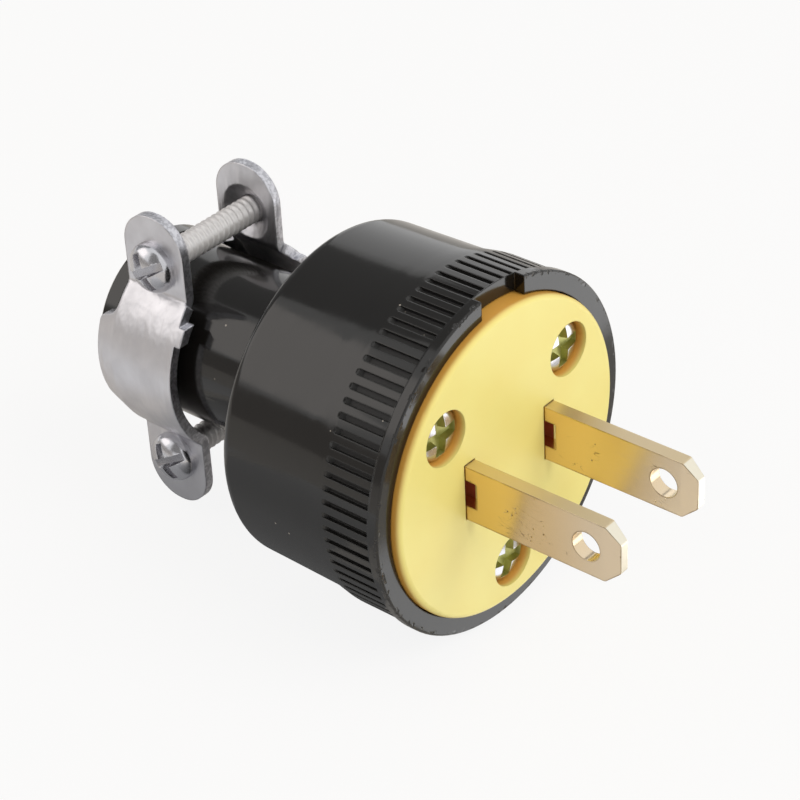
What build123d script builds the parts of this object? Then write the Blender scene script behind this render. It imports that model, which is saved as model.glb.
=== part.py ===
from build123d import *
import math
import os

# Two-blade rewireable plug with an outside cord clamp, in millimetres.
# The origin is the middle of the face, where the blades leave it. The blades point along -Y,
# the cord leaves along +Y, X runs from blade to blade and Z is up.

# Blades
blade_spacing = 12.7
blade_thickness = 1.5
blade_width = 6.35
blade_reach = 18.4
tip_chamfer_length = 1.7
tip_chamfer_height = 1.5
tip_corner_radius = 0.5
tip_bevel_length = 1.9
tip_bevel_depth = 0.25
detent_hole_diameter = 3.2
detent_hole_setback = 3.9
window_height = 3.0
window_reach = 1.35
window_depth = 1.5
shoulder_width = 9.4
shoulder_length = 1.4
tail_width = 7.4
tail_end_gap = 1.5

# Face plate and the disc behind it
face_thickness = 5.0
face_edge_radius = 0.55
face_proud = 1.0
retainer_thickness = 3.2

# Face screws
face_screw_inset = 4.6
face_screw_spread = 51.0
face_screw_diameter = 3.2
face_screw_end_gap = 3.4
face_screw_head_diameter = 5.4
face_screw_head_height = 1.9
face_screw_recess = 2.3

# Terminal screws
terminal_screw_diameter = 3.5
terminal_screw_length = 4.0
terminal_screw_head_diameter = 6.6
terminal_screw_head_height = 2.2
terminal_screw_setback = 5.0

# Body shell
body_radius = 18.6
body_end = 22.3
body_draft = 0.25
grip_step = 0.45
grip_ramp = 2.5
ramp_radius = 6.0
flange_step = 0.25
flange_length = 1.15
flange_chamfer = 0.15
rim_width = 2.05
shoulder_radius = 1.2
shell_wall = 2.6
boss_wall = 1.7
neck_radius = 9.15
neck_length = 25.9
neck_root_chamfer = 0.7
bead_step = 0.7
bead_length = 2.2
bead_chamfer = 0.4
cord_bore_radius = 6.0
cord_mouth_chamfer = 0.8

# Grip grooves and rim notch
groove_count = 80
groove_width = 0.64
groove_depth = 0.5
groove_length = 5.7
groove_front_band = 1.45
groove_rear_margin = 0.3
groove_run_out = 0.6
groove_phase = 0.65
notch_width = 6.6
notch_depth = 1.2
notch_offset = 0.8

# Cord clamp
clamp_steel = 1.1
clamp_setback = 7.85
saddle_gap = 0.7
saddle_front_reach = 4.65
saddle_rear_reach = 3.9
saddle_half_height = 6.8
saddle_corner_radius = 0.8
waist_rise = 3.5
waist_radius = 1.5
lip_run = 2.7
lip_half_height = 4.9
lip_rise = 1.0
tab_height = 6.1
tab_width = 1.7
tab_reach = 0.8
ear_width = 8.3
ear_overhang = 5.75
ear_half_gap = 6.4
ear_corner_radius = 4.0
bend_radius = 0.6
collar_radius = 2.6
collar_height = 1.3
funnel_radius = 3.2
funnel_depth = 0.9

# Clamp screws
clamp_screw_rise = 2.71
clamp_screw_diameter = 3.1
clamp_screw_head_diameter = 5.6
clamp_screw_head_height = 2.2
clamp_screw_overhang = 1.2
clamp_screw_turn = -30.0

# Form shared by the screws: drive recess and straight rim of the head
drive_slot_width = 1.15
drive_slot_depth = 1.0
drive_cross_share = 0.8
head_rim_share = 0.35

# Clearances on each side
face_clearance = 0.15
blade_clearance = 0.1
thread_clearance = 0.05
screw_hole_clearance = 0.25
head_clearance = 0.25
lip_clearance = 0.05
retainer_clearance = 0.2

# Places worked out from the sizes above
grip_radius = body_radius + grip_step
flange_radius = grip_radius + flange_step
seat_radius = flange_radius - rim_width
face_radius = seat_radius - face_clearance
cavity_radius = body_radius - shell_wall
cavity_end = body_end - shell_wall
bead_radius = neck_radius + bead_step
neck_end = body_end + neck_length
rim_y = face_proud
retainer_back = face_thickness + retainer_thickness
tail_end = cavity_end - tail_end_gap
face_screw_circle_radius = face_radius - face_screw_inset
face_screw_length = cavity_end - face_screw_end_gap - face_screw_recess
groove_start = rim_y + groove_front_band
groove_end = groove_start + groove_length
grip_end = groove_end + groove_rear_margin
blade_middles = {"left": -blade_spacing / 2, "right": blade_spacing / 2}
face_screw_angles = {
    "upper_left": 90 + face_screw_spread,
    "upper_right": 90 - face_screw_spread,
    "lower": -90,
}
face_screw_turns = {"upper_left": 0, "upper_right": -3, "lower": 12}
clamp_y = neck_end - clamp_setback
saddle_inside = bead_radius + saddle_gap
saddle_middle = saddle_inside + clamp_steel / 2
ear_middle = ear_half_gap + clamp_steel / 2
ear_outside = ear_half_gap + clamp_steel
bend_middle = bend_radius + clamp_steel / 2
bend_x = ear_middle + bend_middle
bend_z = math.sqrt((saddle_middle + bend_middle) ** 2 - bend_x**2)
clamp_screw_height = bend_z + clamp_screw_rise
ear_reach = clamp_screw_height + ear_overhang


def along_y(sketch, start, end):
    """Extrude a sketch drawn in X and Z from y = start to y = end."""
    return extrude(Plane.XZ.offset(-start) * sketch, amount=start - end)


def along_x(sketch, start, end):
    """Extrude a sketch drawn in Y and Z from x = start to x = end."""
    return extrude(Plane.YZ.offset(start) * sketch, amount=end - start)


def turned(points, radii):
    """Turn a closed outline of radius and length about the plug's axis."""
    outline = FilletPolyline(*points, radius=radii, close=True)
    return revolve(make_face(outline), Axis.Y)


def face_screw_place(angle):
    """X and Z of a face screw at an angle round the face."""
    turn = math.radians(angle)
    return (face_screw_circle_radius * math.cos(turn), face_screw_circle_radius * math.sin(turn))


def make_screw(head_diameter, head_height, shank_diameter, length, crossed):
    """A round-head screw along +Y, seated at y = 0, with a slot or a slot with a cross."""
    head_radius = head_diameter / 2
    shank_radius = shank_diameter / 2
    rim = head_height * head_rim_share
    dome = TangentArc((0, -head_height), (head_radius, -rim), tangent=(1, 0))
    sides = Polyline(
        (head_radius, -rim),
        (head_radius, 0),
        (shank_radius, 0),
        (shank_radius, length),
        (0, length),
        (0, -head_height),
    )
    screw = revolve(make_face([dome, sides]), Axis.Y)
    floor = drive_slot_depth - head_height
    screw -= along_y(Rectangle(head_diameter, drive_slot_width), -head_height, floor)
    if crossed:
        cross = Rectangle(drive_slot_width, head_diameter * drive_cross_share)
        screw -= along_y(cross, -head_height, floor)
    return screw


def make_body_shell():
    """Black moulding: rim, grip collar, body, shoulder and neck round one cavity."""
    bead_start = neck_end - bead_length
    outline = {
        (seat_radius, rim_y): 0,
        (flange_radius - flange_chamfer, rim_y): 0,
        (flange_radius, rim_y + flange_chamfer): 0,
        (flange_radius, rim_y + flange_length): 0,
        (grip_radius, rim_y + flange_length + flange_step): 0,
        (grip_radius, grip_end): ramp_radius,
        (body_radius, grip_end + grip_ramp): ramp_radius,
        (body_radius - body_draft, body_end): shoulder_radius,
        (neck_radius + neck_root_chamfer, body_end): 0,
        (neck_radius, body_end + neck_root_chamfer): 0,
        (neck_radius, bead_start - bead_step): 0,
        (bead_radius, bead_start): 0,
        (bead_radius, neck_end - bead_chamfer): 0,
        (bead_radius - bead_chamfer, neck_end): 0,
        (cord_bore_radius + cord_mouth_chamfer, neck_end): 0,
        (cord_bore_radius, neck_end - cord_mouth_chamfer): 0,
        (cord_bore_radius, cavity_end): 0,
        (cavity_radius, cavity_end): 0,
        (cavity_radius, face_thickness): 0,
        (seat_radius, face_thickness): 0,
    }
    shell = turned(list(outline), list(outline.values()))
    pilot_radius = face_screw_diameter / 2 + thread_clearance
    boss_radius = pilot_radius + boss_wall
    pilot_end = face_screw_recess + face_screw_length + boss_wall
    for angle in face_screw_angles.values():
        x, z = face_screw_place(angle)
        bridge = cavity_radius + shell_wall / 2 - face_screw_circle_radius
        web = Pos(bridge / 2, 0) * Rectangle(bridge, 2 * boss_radius)
        boss = Pos(x, z) * (Circle(boss_radius) + Rot(0, 0, angle) * web)
        shell += along_y(boss, retainer_back, cavity_end + shell_wall / 2)
    for angle in face_screw_angles.values():
        pilot = Pos(*face_screw_place(angle)) * Circle(pilot_radius)
        shell -= along_y(pilot, retainer_back - boss_wall, pilot_end)
    half = groove_width / 2
    groove_floor = grip_radius - groove_depth
    groove_outline = make_face(
        Polyline(
            (-half, groove_start),
            (half, groove_start),
            (half, groove_end - groove_run_out / 2),
            (half / 3, groove_end + groove_run_out / 4),
            (-half / 3, groove_end + groove_run_out / 4),
            (-half, groove_end - groove_run_out / 2),
            close=True,
        )
    )
    groove_section = make_face(
        Polyline(
            (groove_start, groove_floor),
            (groove_end - groove_run_out, groove_floor),
            (groove_end, grip_radius),
            (groove_end + groove_run_out, grip_radius + groove_depth),
            (groove_start, grip_radius + groove_depth),
            close=True,
        )
    )
    groove = extrude(Pos(0, 0, groove_floor) * groove_outline, amount=groove_depth + flange_step)
    groove &= along_x(groove_section, -groove_width, groove_width)
    pitch = 360 / groove_count
    shell -= [Rot(0, (turn + groove_phase) * pitch, 0) * groove for turn in range(groove_count)]
    notch = Pos(notch_offset, flange_radius) * Rectangle(notch_width, 2 * flange_radius)
    return shell - along_y(notch, rim_y - notch_depth, rim_y + notch_depth)


def make_face_plate():
    """Yellow face disc with screw recesses, blade slots and pockets for the blade shoulders."""
    outline = {
        (0, 0): 0,
        (face_radius, 0): face_edge_radius,
        (face_radius, face_thickness): 0,
        (0, face_thickness): 0,
    }
    plate = turned(list(outline), list(outline.values()))
    recess_radius = face_screw_head_diameter / 2 + head_clearance
    hole_radius = face_screw_diameter / 2 + screw_hole_clearance
    for angle in face_screw_angles.values():
        place = Pos(*face_screw_place(angle))
        plate -= along_y(place * Circle(recess_radius), -face_thickness, face_screw_recess)
        plate -= along_y(place * Circle(hole_radius), 0, 2 * face_thickness)
    slot_thickness = blade_thickness + 2 * blade_clearance
    for middle in blade_middles.values():
        slot = Pos(middle, 0) * Rectangle(slot_thickness, blade_width + 2 * blade_clearance)
        pocket = Pos(middle, 0) * Rectangle(slot_thickness, shoulder_width + 2 * blade_clearance)
        plate -= along_y(slot, -face_thickness, 2 * face_thickness)
        plate -= along_y(pocket, face_thickness - shoulder_length, 2 * face_thickness)
    return plate


def make_blade_retainer():
    """Insulating disc between the face and the shell's bosses, slotted for the blade tails."""
    disc = Circle(cavity_radius - retainer_clearance)
    for angle in face_screw_angles.values():
        disc -= Pos(*face_screw_place(angle)) * Circle(face_screw_diameter / 2 + screw_hole_clearance)
    for middle in blade_middles.values():
        slot = Rectangle(blade_thickness + 2 * blade_clearance, tail_width + 2 * blade_clearance)
        disc -= Pos(middle, 0) * slot
    return along_y(disc, face_thickness, retainer_back)


def make_blade(middle):
    """Brass blade: bevelled tip, detent hole, punched window, shoulder and terminal tail."""
    half = blade_width / 2
    shoulder_front = face_thickness - shoulder_length
    upper = [
        (-blade_reach, half - tip_chamfer_height, tip_corner_radius),
        (tip_chamfer_length - blade_reach, half, tip_corner_radius),
        (shoulder_front, half, 0),
        (shoulder_front, shoulder_width / 2, 0),
        (face_thickness, shoulder_width / 2, 0),
        (face_thickness, tail_width / 2, 0),
        (tail_end, tail_width / 2, tip_corner_radius),
    ]
    lower = [(y, -z, radius) for y, z, radius in reversed(upper)]
    corners = upper + lower
    broad = make_face(
        FilletPolyline(*[(y, z) for y, z, _ in corners], radius=[r for _, _, r in corners], close=True)
    )
    hole_y = detent_hole_setback - blade_reach
    screw_y = tail_end - terminal_screw_setback
    broad -= Pos(hole_y, 0) * Circle(detent_hole_diameter / 2)
    broad -= Pos(screw_y, 0) * Circle(terminal_screw_diameter / 2 + thread_clearance)
    broad -= Pos((window_depth - window_reach) / 2, 0) * Rectangle(window_depth + window_reach, window_height)
    side = blade_thickness / 2
    tip = side - tip_bevel_depth
    bevel_y = tip_bevel_length - blade_reach
    edge = make_face(
        Polyline(
            (-tip, -blade_reach),
            (tip, -blade_reach),
            (side, bevel_y),
            (side, tail_end),
            (-side, tail_end),
            (-side, bevel_y),
            close=True,
        )
    )
    blade = along_x(broad, -side, side) & extrude(edge, amount=shoulder_width, both=True)
    return Pos(middle, 0, 0) * blade


def make_terminal_screw(side):
    """Binding screw through a blade's tail, with its head on the outer face."""
    screw = make_screw(
        terminal_screw_head_diameter,
        terminal_screw_head_height,
        terminal_screw_diameter,
        terminal_screw_length,
        False,
    )
    outward = math.copysign(1, blade_middles[side])
    seat = blade_middles[side] + outward * blade_thickness / 2
    screw_y = tail_end - terminal_screw_setback
    return Pos(seat, screw_y, 0) * Rot(0, 0, outward * 90) * screw


def make_face_screw(angle, turn):
    """Pan-head screw through the face and the retainer into a boss of the shell."""
    screw = make_screw(
        face_screw_head_diameter,
        face_screw_head_height,
        face_screw_diameter,
        face_screw_length,
        True,
    )
    x, z = face_screw_place(angle)
    return Pos(x, face_screw_recess, z) * Rot(0, turn, 0) * screw


def saddle_section():
    """Strip section of the saddle, straight at the front and with a lip turned in at the rear."""
    drop = saddle_gap - lip_clearance
    front = clamp_y - saddle_front_reach - tab_reach
    crease = clamp_y + saddle_rear_reach
    outside = saddle_inside + clamp_steel
    return make_face(
        Polyline(
            (saddle_inside, front),
            (outside, front),
            (outside, crease),
            (outside - drop, crease + lip_run),
            (saddle_inside - drop, crease + lip_run),
            (saddle_inside, crease),
            close=True,
        )
    )


def ear_section(turn):
    """Upper ear and its bend in X and Z, tangent to the saddle's arc where the arc ends at turn."""
    half = clamp_steel / 2

    def on_bend(radius, angle):
        return (radius * math.cos(angle) - bend_x, bend_z - radius * math.sin(angle))

    wide = bend_middle + half
    tight = bend_middle - half
    return make_face(
        [
            ThreePointArc(on_bend(wide, turn), on_bend(wide, turn / 2), on_bend(wide, 0)),
            Polyline(
                on_bend(wide, 0),
                (half - ear_middle, ear_reach),
                (-half - ear_middle, ear_reach),
                on_bend(tight, 0),
            ),
            ThreePointArc(on_bend(tight, 0), on_bend(tight, turn / 2), on_bend(tight, turn)),
            Line(on_bend(tight, turn), on_bend(wide, turn)),
        ]
    )


def clamp_blank():
    """Outline of the stamping in Y and Z: a saddle with a rear lip, a round ear at each end, a tab."""
    ear = ear_width / 2
    front = -saddle_front_reach
    rear = saddle_rear_reach + lip_run
    upper = [
        (front, saddle_half_height, saddle_corner_radius),
        (-ear, saddle_half_height + waist_rise, waist_radius),
        (-ear, ear_reach, ear_corner_radius),
        (ear, ear_reach, ear_corner_radius),
        (ear, lip_half_height + lip_rise, waist_radius),
        (rear, lip_half_height, saddle_corner_radius),
    ]
    lower = [(y, -z, radius) for y, z, radius in reversed(upper)]
    corners = upper + lower
    outline = FilletPolyline(*[(y, z) for y, z, _ in corners], radius=[r for _, _, r in corners], close=True)
    tab = Pos(front, tab_height) * Rectangle(2 * tab_reach, tab_width)
    return Pos(clamp_y, 0) * (make_face(outline) + tab)


def make_clamp_half(tapped):
    """Stamped clamp half on the -X side: saddle round the neck, and an ear above and below it."""
    turn = math.atan2(bend_z, bend_x)
    arc = 2 * math.degrees(turn)
    saddle = Rot(0, 180 - arc / 2, 0) * revolve(saddle_section(), Axis.Y, revolution_arc=arc)
    upper_ear = along_y(ear_section(turn), clamp_y - ear_width / 2, clamp_y + ear_width / 2)
    half = saddle + upper_ear + mirror(upper_ear, Plane.XY)
    half &= along_x(clamp_blank(), -saddle_inside - 2 * clamp_steel, 0)
    hole_radius = clamp_screw_diameter / 2 + (thread_clearance if tapped else screw_hole_clearance)
    for z in (clamp_screw_height, -clamp_screw_height):
        place = Pos(clamp_y, z)
        if tapped:
            half += along_x(place * Circle(collar_radius), -ear_outside - collar_height, -ear_outside)
            rim = Plane.YZ.offset(-ear_half_gap) * place * Circle(funnel_radius)
            throat = Plane.YZ.offset(-ear_half_gap - funnel_depth) * place * Circle(hole_radius)
            half -= loft([rim, throat])
        half -= along_x(place * Circle(hole_radius), -2 * ear_outside, 0)
    return mirror(half, Plane.YZ) if tapped else half


def make_clamp_screw(z):
    """Round-head screw from the plain half into the tapped half."""
    length = 2 * ear_outside + collar_height + clamp_screw_overhang
    screw = make_screw(
        clamp_screw_head_diameter,
        clamp_screw_head_height,
        clamp_screw_diameter,
        length,
        True,
    )
    return Pos(-ear_outside, clamp_y, z) * Rot(0, 0, -90) * Rot(0, clamp_screw_turn, 0) * screw


pieces = {
    "body_shell": make_body_shell(),
    "face_plate": make_face_plate(),
    "blade_retainer": make_blade_retainer(),
    "clamp_plain_half": make_clamp_half(False),
    "clamp_tapped_half": make_clamp_half(True),
    "clamp_screw_upper": make_clamp_screw(clamp_screw_height),
    "clamp_screw_lower": make_clamp_screw(-clamp_screw_height),
}
for side, middle in blade_middles.items():
    pieces[f"blade_{side}"] = make_blade(middle)
    pieces[f"terminal_screw_{side}"] = make_terminal_screw(side)
for name, angle in face_screw_angles.items():
    pieces[f"face_screw_{name}"] = make_face_screw(angle, face_screw_turns[name])

os.makedirs("parts", exist_ok=True)
for name, piece in pieces.items():
    export_step(piece, f"parts/{name}.step")
    print(name, len(piece.solids()), round(piece.volume, 2))
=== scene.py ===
# %% [markdown]
# # A two-blade plug with a cord clamp
#
# The real object is a small hand-wired plug: a black moulded shell, a yellow moulded face held by
# three screws, two brass blades, and a plated steel clamp on the neck that grips the cord. The
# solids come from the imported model, already in place and in metres, so this lesson only adds what
# the eye looks for: finishes, screw threads, driver recesses, soft light and the camera.

# %% Load the solids
import math

import bmesh
import bpy
from mathutils import Matrix, Vector


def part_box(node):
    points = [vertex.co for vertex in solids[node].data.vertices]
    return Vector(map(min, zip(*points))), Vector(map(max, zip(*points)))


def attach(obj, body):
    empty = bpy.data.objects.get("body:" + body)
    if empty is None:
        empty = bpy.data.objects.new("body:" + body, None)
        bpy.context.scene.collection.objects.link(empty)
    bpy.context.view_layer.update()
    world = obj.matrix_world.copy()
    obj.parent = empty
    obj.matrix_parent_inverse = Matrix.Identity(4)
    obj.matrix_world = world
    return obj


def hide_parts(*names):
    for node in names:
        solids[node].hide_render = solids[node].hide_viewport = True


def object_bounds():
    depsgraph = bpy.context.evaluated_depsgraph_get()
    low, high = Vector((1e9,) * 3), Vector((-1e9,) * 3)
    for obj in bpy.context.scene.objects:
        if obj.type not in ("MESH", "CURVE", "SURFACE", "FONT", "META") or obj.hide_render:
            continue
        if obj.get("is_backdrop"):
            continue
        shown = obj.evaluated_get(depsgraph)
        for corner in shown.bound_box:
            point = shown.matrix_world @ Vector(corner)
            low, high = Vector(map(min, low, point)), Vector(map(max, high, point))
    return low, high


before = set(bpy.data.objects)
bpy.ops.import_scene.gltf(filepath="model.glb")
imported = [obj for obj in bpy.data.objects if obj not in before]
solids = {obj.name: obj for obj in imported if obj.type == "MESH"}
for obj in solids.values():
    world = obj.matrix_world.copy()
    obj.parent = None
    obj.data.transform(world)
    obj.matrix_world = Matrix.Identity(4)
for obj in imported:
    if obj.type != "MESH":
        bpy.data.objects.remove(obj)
cad_low, cad_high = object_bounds()
MM = 0.001
print("solids:", len(solids), "size in mm:", [round(x / MM, 1) for x in cad_high - cad_low])

# %% [markdown]
# ## Camera
#
# A long lens close to the object gives the slight perspective of a product picture. The camera
# could be placed by eye, but three angles, a distance and an aim point are easier to read and to
# change. Turning about Z sets the azimuth, about X the elevation, and about the line of sight the
# small roll.

# %% Place the camera
AIM = Vector((-4.35, 10.32, 5.35)) * MM
DISTANCE = 251.49 * MM
AZIMUTH = math.radians(-48.39)
ELEVATION = math.radians(33.76)
ROLL = math.radians(-3.17)
LENS = 114.24
SENSOR = 36.0
CLIP_START = 0.01

camera = bpy.data.objects.new("camera", bpy.data.cameras.new("camera"))
bpy.context.scene.collection.objects.link(camera)
camera.data.lens = LENS
camera.data.sensor_width = SENSOR
camera.data.clip_start = CLIP_START
swing = Matrix.Rotation(AZIMUTH, 4, "Z") @ Matrix.Rotation(math.pi / 2 - ELEVATION, 4, "X")
lean = Matrix.Rotation(ROLL, 4, "Z")
camera.matrix_world = Matrix.Translation(AIM) @ swing @ lean @ Matrix.Translation((0, 0, DISTANCE))
bpy.context.scene.camera = camera
bpy.context.scene.view_settings.view_transform = "Standard"
print("camera at mm:", [round(x / MM, 1) for x in camera.matrix_world.translation])

# %% [markdown]
# ## Colours and nodes
#
# Colours are easiest to judge as the hex values of a paint picker, but shaders work in linear
# light, so one function turns one into the other. A second one adds any shader node with its
# settings, socket values and links, which keeps each finish below short enough to read as a recipe.
# The settings that come back most often have a name.

# %% Two small helpers
SMOOTH_STEP = {"interpolation_type": "SMOOTHSTEP"}
COLOUR_MIX = {"data_type": "RGBA"}
MULTIPLY = {"operation": "MULTIPLY"}
MAXIMUM = {"operation": "MAXIMUM"}
ABSOLUTE = {"operation": "ABSOLUTE"}


def linear(hex_colour):
    """Linear RGBA of an sRGB hex colour."""
    parts = [int(hex_colour[i : i + 2], 16) / 255 for i in (1, 3, 5)]
    return [p / 12.92 if p <= 0.04045 else ((p + 0.055) / 1.055) ** 2.4 for p in parts] + [1.0]


def add_node(tree, kind, settings=None, values=None, links=None):
    """Add one shader node, then set its properties, its socket values and its incoming links."""
    node = tree.nodes.new("ShaderNode" + kind)
    for name, value in (settings or {}).items():
        setattr(node, name, value)
    for name, value in (values or {}).items():
        node.inputs[name].default_value = value
    for name, source in (links or {}).items():
        tree.links.new(source, node.inputs[name])
    return node


print("mid grey is", [round(x, 3) for x in linear("#808080")])

# %% [markdown]
# ## Floor
#
# The plug lies on white paper, which catches its soft shadow. Stronger lamps could make the paper
# white, but they would bleach the plug as well. So a share of plain emission does it, in full for
# rays that reach the eye and weakly for those in a reflection.

# %% White paper floor
FLOOR_GAP = 0.02 * MM
FLOOR_REACH = 4.0
FLOOR_GLOW = 0.88
FLOOR_MIRROR_GLOW = 0.08


def seen_directly(tree, mirror_share):
    """1 for rays that show a surface to the eye, a share for those in a mirror or glass, else 0."""
    path = add_node(tree, "LightPath")
    bounced = add_node(
        tree,
        "Math",
        MAXIMUM,
        links={0: path.outputs["Is Glossy Ray"], 1: path.outputs["Is Transmission Ray"]},
    )
    return add_node(
        tree,
        "Math",
        {"operation": "MULTIPLY_ADD"},
        {1: mirror_share},
        {0: bounced.outputs[0], 2: path.outputs["Is Camera Ray"]},
    ).outputs[0]


floor_paper = bpy.data.materials.new("white_paper_floor")
floor_paper.use_nodes = True
tree = floor_paper.node_tree
tree.nodes.clear()
matt = add_node(tree, "BsdfDiffuse", values={"Color": linear("#E2E2E1")})
glow = add_node(tree, "Emission", values={"Color": linear("#FFFFFF"), "Strength": 1.0})
seen = seen_directly(tree, FLOOR_MIRROR_GLOW / FLOOR_GLOW)
share = add_node(tree, "Math", MULTIPLY, {1: FLOOR_GLOW}, {0: seen})
blend = add_node(
    tree, "MixShader", links={0: share.outputs[0], 1: matt.outputs[0], 2: glow.outputs[0]}
)
add_node(tree, "OutputMaterial", links={"Surface": blend.outputs[0]})

bpy.ops.mesh.primitive_plane_add(size=2 * FLOOR_REACH, location=(0, 0, cad_low.z - FLOOR_GAP))
floor = bpy.context.object
floor.name = "floor"
floor.data.materials.append(floor_paper)
floor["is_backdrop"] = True
print("floor at mm:", round(floor.location.z / MM, 2))

# %% [markdown]
# ## World
#
# Behind the floor the white ground goes on as the world. Rays that only carry light between
# surfaces see a dimmer and slightly warm ambient level instead, so that the white ground doesn't
# wash out the plug.

# %% Ambient light and white ground
AMBIENT = 0.6
world = bpy.data.worlds.new("studio")
bpy.context.scene.world = world
world.use_nodes = True
tree = world.node_tree
tree.nodes.clear()
ambient = add_node(tree, "Background", values={"Color": linear("#FFF7EE"), "Strength": AMBIENT})
ground = add_node(tree, "Background", values={"Color": linear("#F8F8F7"), "Strength": 1.0})
blend = add_node(
    tree,
    "MixShader",
    links={0: seen_directly(tree, 1.0), 1: ambient.outputs[0], 2: ground.outputs[0]},
)
add_node(tree, "OutputWorld", links={"Surface": blend.outputs[0]})
print("ambient strength:", AMBIENT)

# %% [markdown]
# ## Lamps
#
# Product tables are lit by soft boxes, and an area lamp is just that: its size sets how soft a
# shadow is, and gloss shows its surface as a bright window. One stands at the far left and draws
# the light band on the black shell. The other, in front and above, lights the yellow face and is
# itself kept out of the reflections.

# %% Two soft boxes
LIT_POINT = Vector((0, 15, 0)) * MM


def toward(heading, elevation):
    """Direction at a heading from +Y towards +X, and an elevation, both in degrees."""
    h = math.radians(heading)
    e = math.radians(elevation)
    return Vector((math.sin(h) * math.cos(e), math.cos(h) * math.cos(e), math.sin(e)))


def soft_box(name, heading, elevation, distance, size, radiance, colour):
    """Rectangular area lamp that faces the plug, with the brightness its surface shows."""
    lamp = bpy.data.lights.new(name, "AREA")
    lamp.shape = "RECTANGLE"
    lamp.size, lamp.size_y = size
    lamp.energy = radiance * math.pi * size[0] * size[1]
    lamp.color = linear(colour)[:3]
    holder = bpy.data.objects.new(name, lamp)
    bpy.context.scene.collection.objects.link(holder)
    line = toward(heading, elevation)
    holder.location = LIT_POINT + line * distance
    holder.rotation_euler = line.to_track_quat("Z", "Y").to_euler()
    return holder


soft_box(
    "left_soft_box",
    heading=-35,
    elevation=33,
    distance=0.5,
    size=(0.35, 0.30),
    radiance=0.74,
    colour="#FFF3EA",
)
key = soft_box(
    "front_soft_box",
    heading=172,
    elevation=42,
    distance=0.75,
    size=(0.55, 0.55),
    radiance=3.1,
    colour="#FFFDF8",
)
key.visible_glossy = False

# %% [markdown]
# ## Backdrop and dark room
#
# Black gloss shows little but what it mirrors. The shell mirrors three things here: a white
# backdrop behind it, the soft box at its far left, and a dark stretch of room between them, which
# gives the long dark band along its top. Walls could stand there, but they would shade the floor
# too. So these are cards that only mirror rays can see. Each has a range of headings, a range of
# elevations, a colour and a strength.

# %% Cards in the room
CARD_DISTANCE = 0.6
ROOM_CARDS = (
    ("white_backdrop", (40, 80), (-6, 34), "#FFFFFF", 1.15),
    ("dark_room", (-12, 40), (6, 62), "#969696", 1.0),
    ("dark_room_right", (40, 72), (38, 62), "#969696", 1.0),
    ("dark_room_left", (-85, -12), (-2, 11), "#A8A39E", 1.0),
    ("dark_room_front", (225, 285), (12, 70), "#8A8886", 1.0),
)


def mirror_card(name, corners, colour, strength):
    """Flat card that is seen only in reflections and casts no shadow."""
    mesh = bpy.data.meshes.new(name)
    mesh.from_pydata(corners, [], [(0, 1, 2, 3)])
    felt = bpy.data.materials.new(name)
    felt.use_nodes = True
    tree = felt.node_tree
    tree.nodes.clear()
    glow = add_node(tree, "Emission", values={"Color": linear(colour), "Strength": strength})
    add_node(tree, "OutputMaterial", links={"Surface": glow.outputs[0]})
    mesh.materials.append(felt)
    card = bpy.data.objects.new(name, mesh)
    bpy.context.scene.collection.objects.link(card)
    card.visible_camera = False
    card.visible_diffuse = False
    card.visible_transmission = False
    card.visible_shadow = False
    card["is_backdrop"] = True
    return card


def room_corners(headings, elevations):
    """Corners of a far patch between two headings and two elevations."""
    left, right = headings
    low, high = elevations
    spots = ((left, low), (right, low), (right, high), (left, high))
    return [LIT_POINT + toward(h, e) * CARD_DISTANCE for h, e in spots]


for name, headings, elevations, colour, strength in ROOM_CARDS:
    mirror_card(name, room_corners(headings, elevations), colour, strength)
print("cards in the room:", len(ROOM_CARDS))

# %% [markdown]
# ## Cards on the floor
#
# The lower half of the plug mirrors the floor. White cards lie in front for the rim and the screw
# heads, a pale one behind for the clamp, and shaded ones beside the plug, which darken towards it
# as its own shadow does. One card with a painted pattern could do all of it, but separate ones are
# easier to move. Each has an X range, a Y range, and a strength at either end of its X range.

# %% Floor cards
CARD_LIFT = 0.05
FLOOR_CARDS = (
    ("white_floor_near", (-8, 10), (-16, 0.9), (1.6, 1.6)),
    ("white_floor_far", (17.5, 150), (-150, -22), (2.0, 2.0)),
    ("pale_floor_behind", (-62, -20), (56, 104), (0.75, 0.75)),
    ("shaded_floor_beside", (-24, -6), (9, 36), (0.36, 0.04)),
    ("shaded_floor_left", (-75, -24), (19, 52), (0.8, 0.36)),
    ("shaded_floor_clamp", (-24, -6), (36, 50), (0.42, 0.28)),
)


def floor_card(name, across, along, strengths):
    """Mirror card on the floor between two X and two Y values in mm, with a strength at each X."""
    height = cad_low.z + CARD_LIFT * MM
    spots = ((0, 0), (1, 0), (1, 1), (0, 1))
    corners = [(across[i] * MM, along[j] * MM, height) for i, j in spots]
    tree = mirror_card(name, corners, "#FFFFFF", 1.0).active_material.node_tree
    place = add_node(tree, "TexCoord").outputs["Object"]
    spot = add_node(tree, "SeparateXYZ", links={0: place})
    fade = add_node(
        tree,
        "MapRange",
        values={
            "From Min": across[0] * MM,
            "From Max": across[1] * MM,
            "To Min": strengths[0],
            "To Max": strengths[1],
        },
        links={"Value": spot.outputs["X"]},
    )
    tree.links.new(fade.outputs[0], tree.nodes["Emission"].inputs["Strength"])


for name, across, along, strengths in FLOOR_CARDS:
    floor_card(name, across, along, strengths)
print("cards on the floor:", len(FLOOR_CARDS))

# %% [markdown]
# ## Starting a finish
#
# Every finish below is one shader with a metallic value and, for a plastic, a refractive index. Its
# patterns could lie on an unwrapped map, but the place on the object in metres needs no map and
# makes the size of every pattern real.


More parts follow.
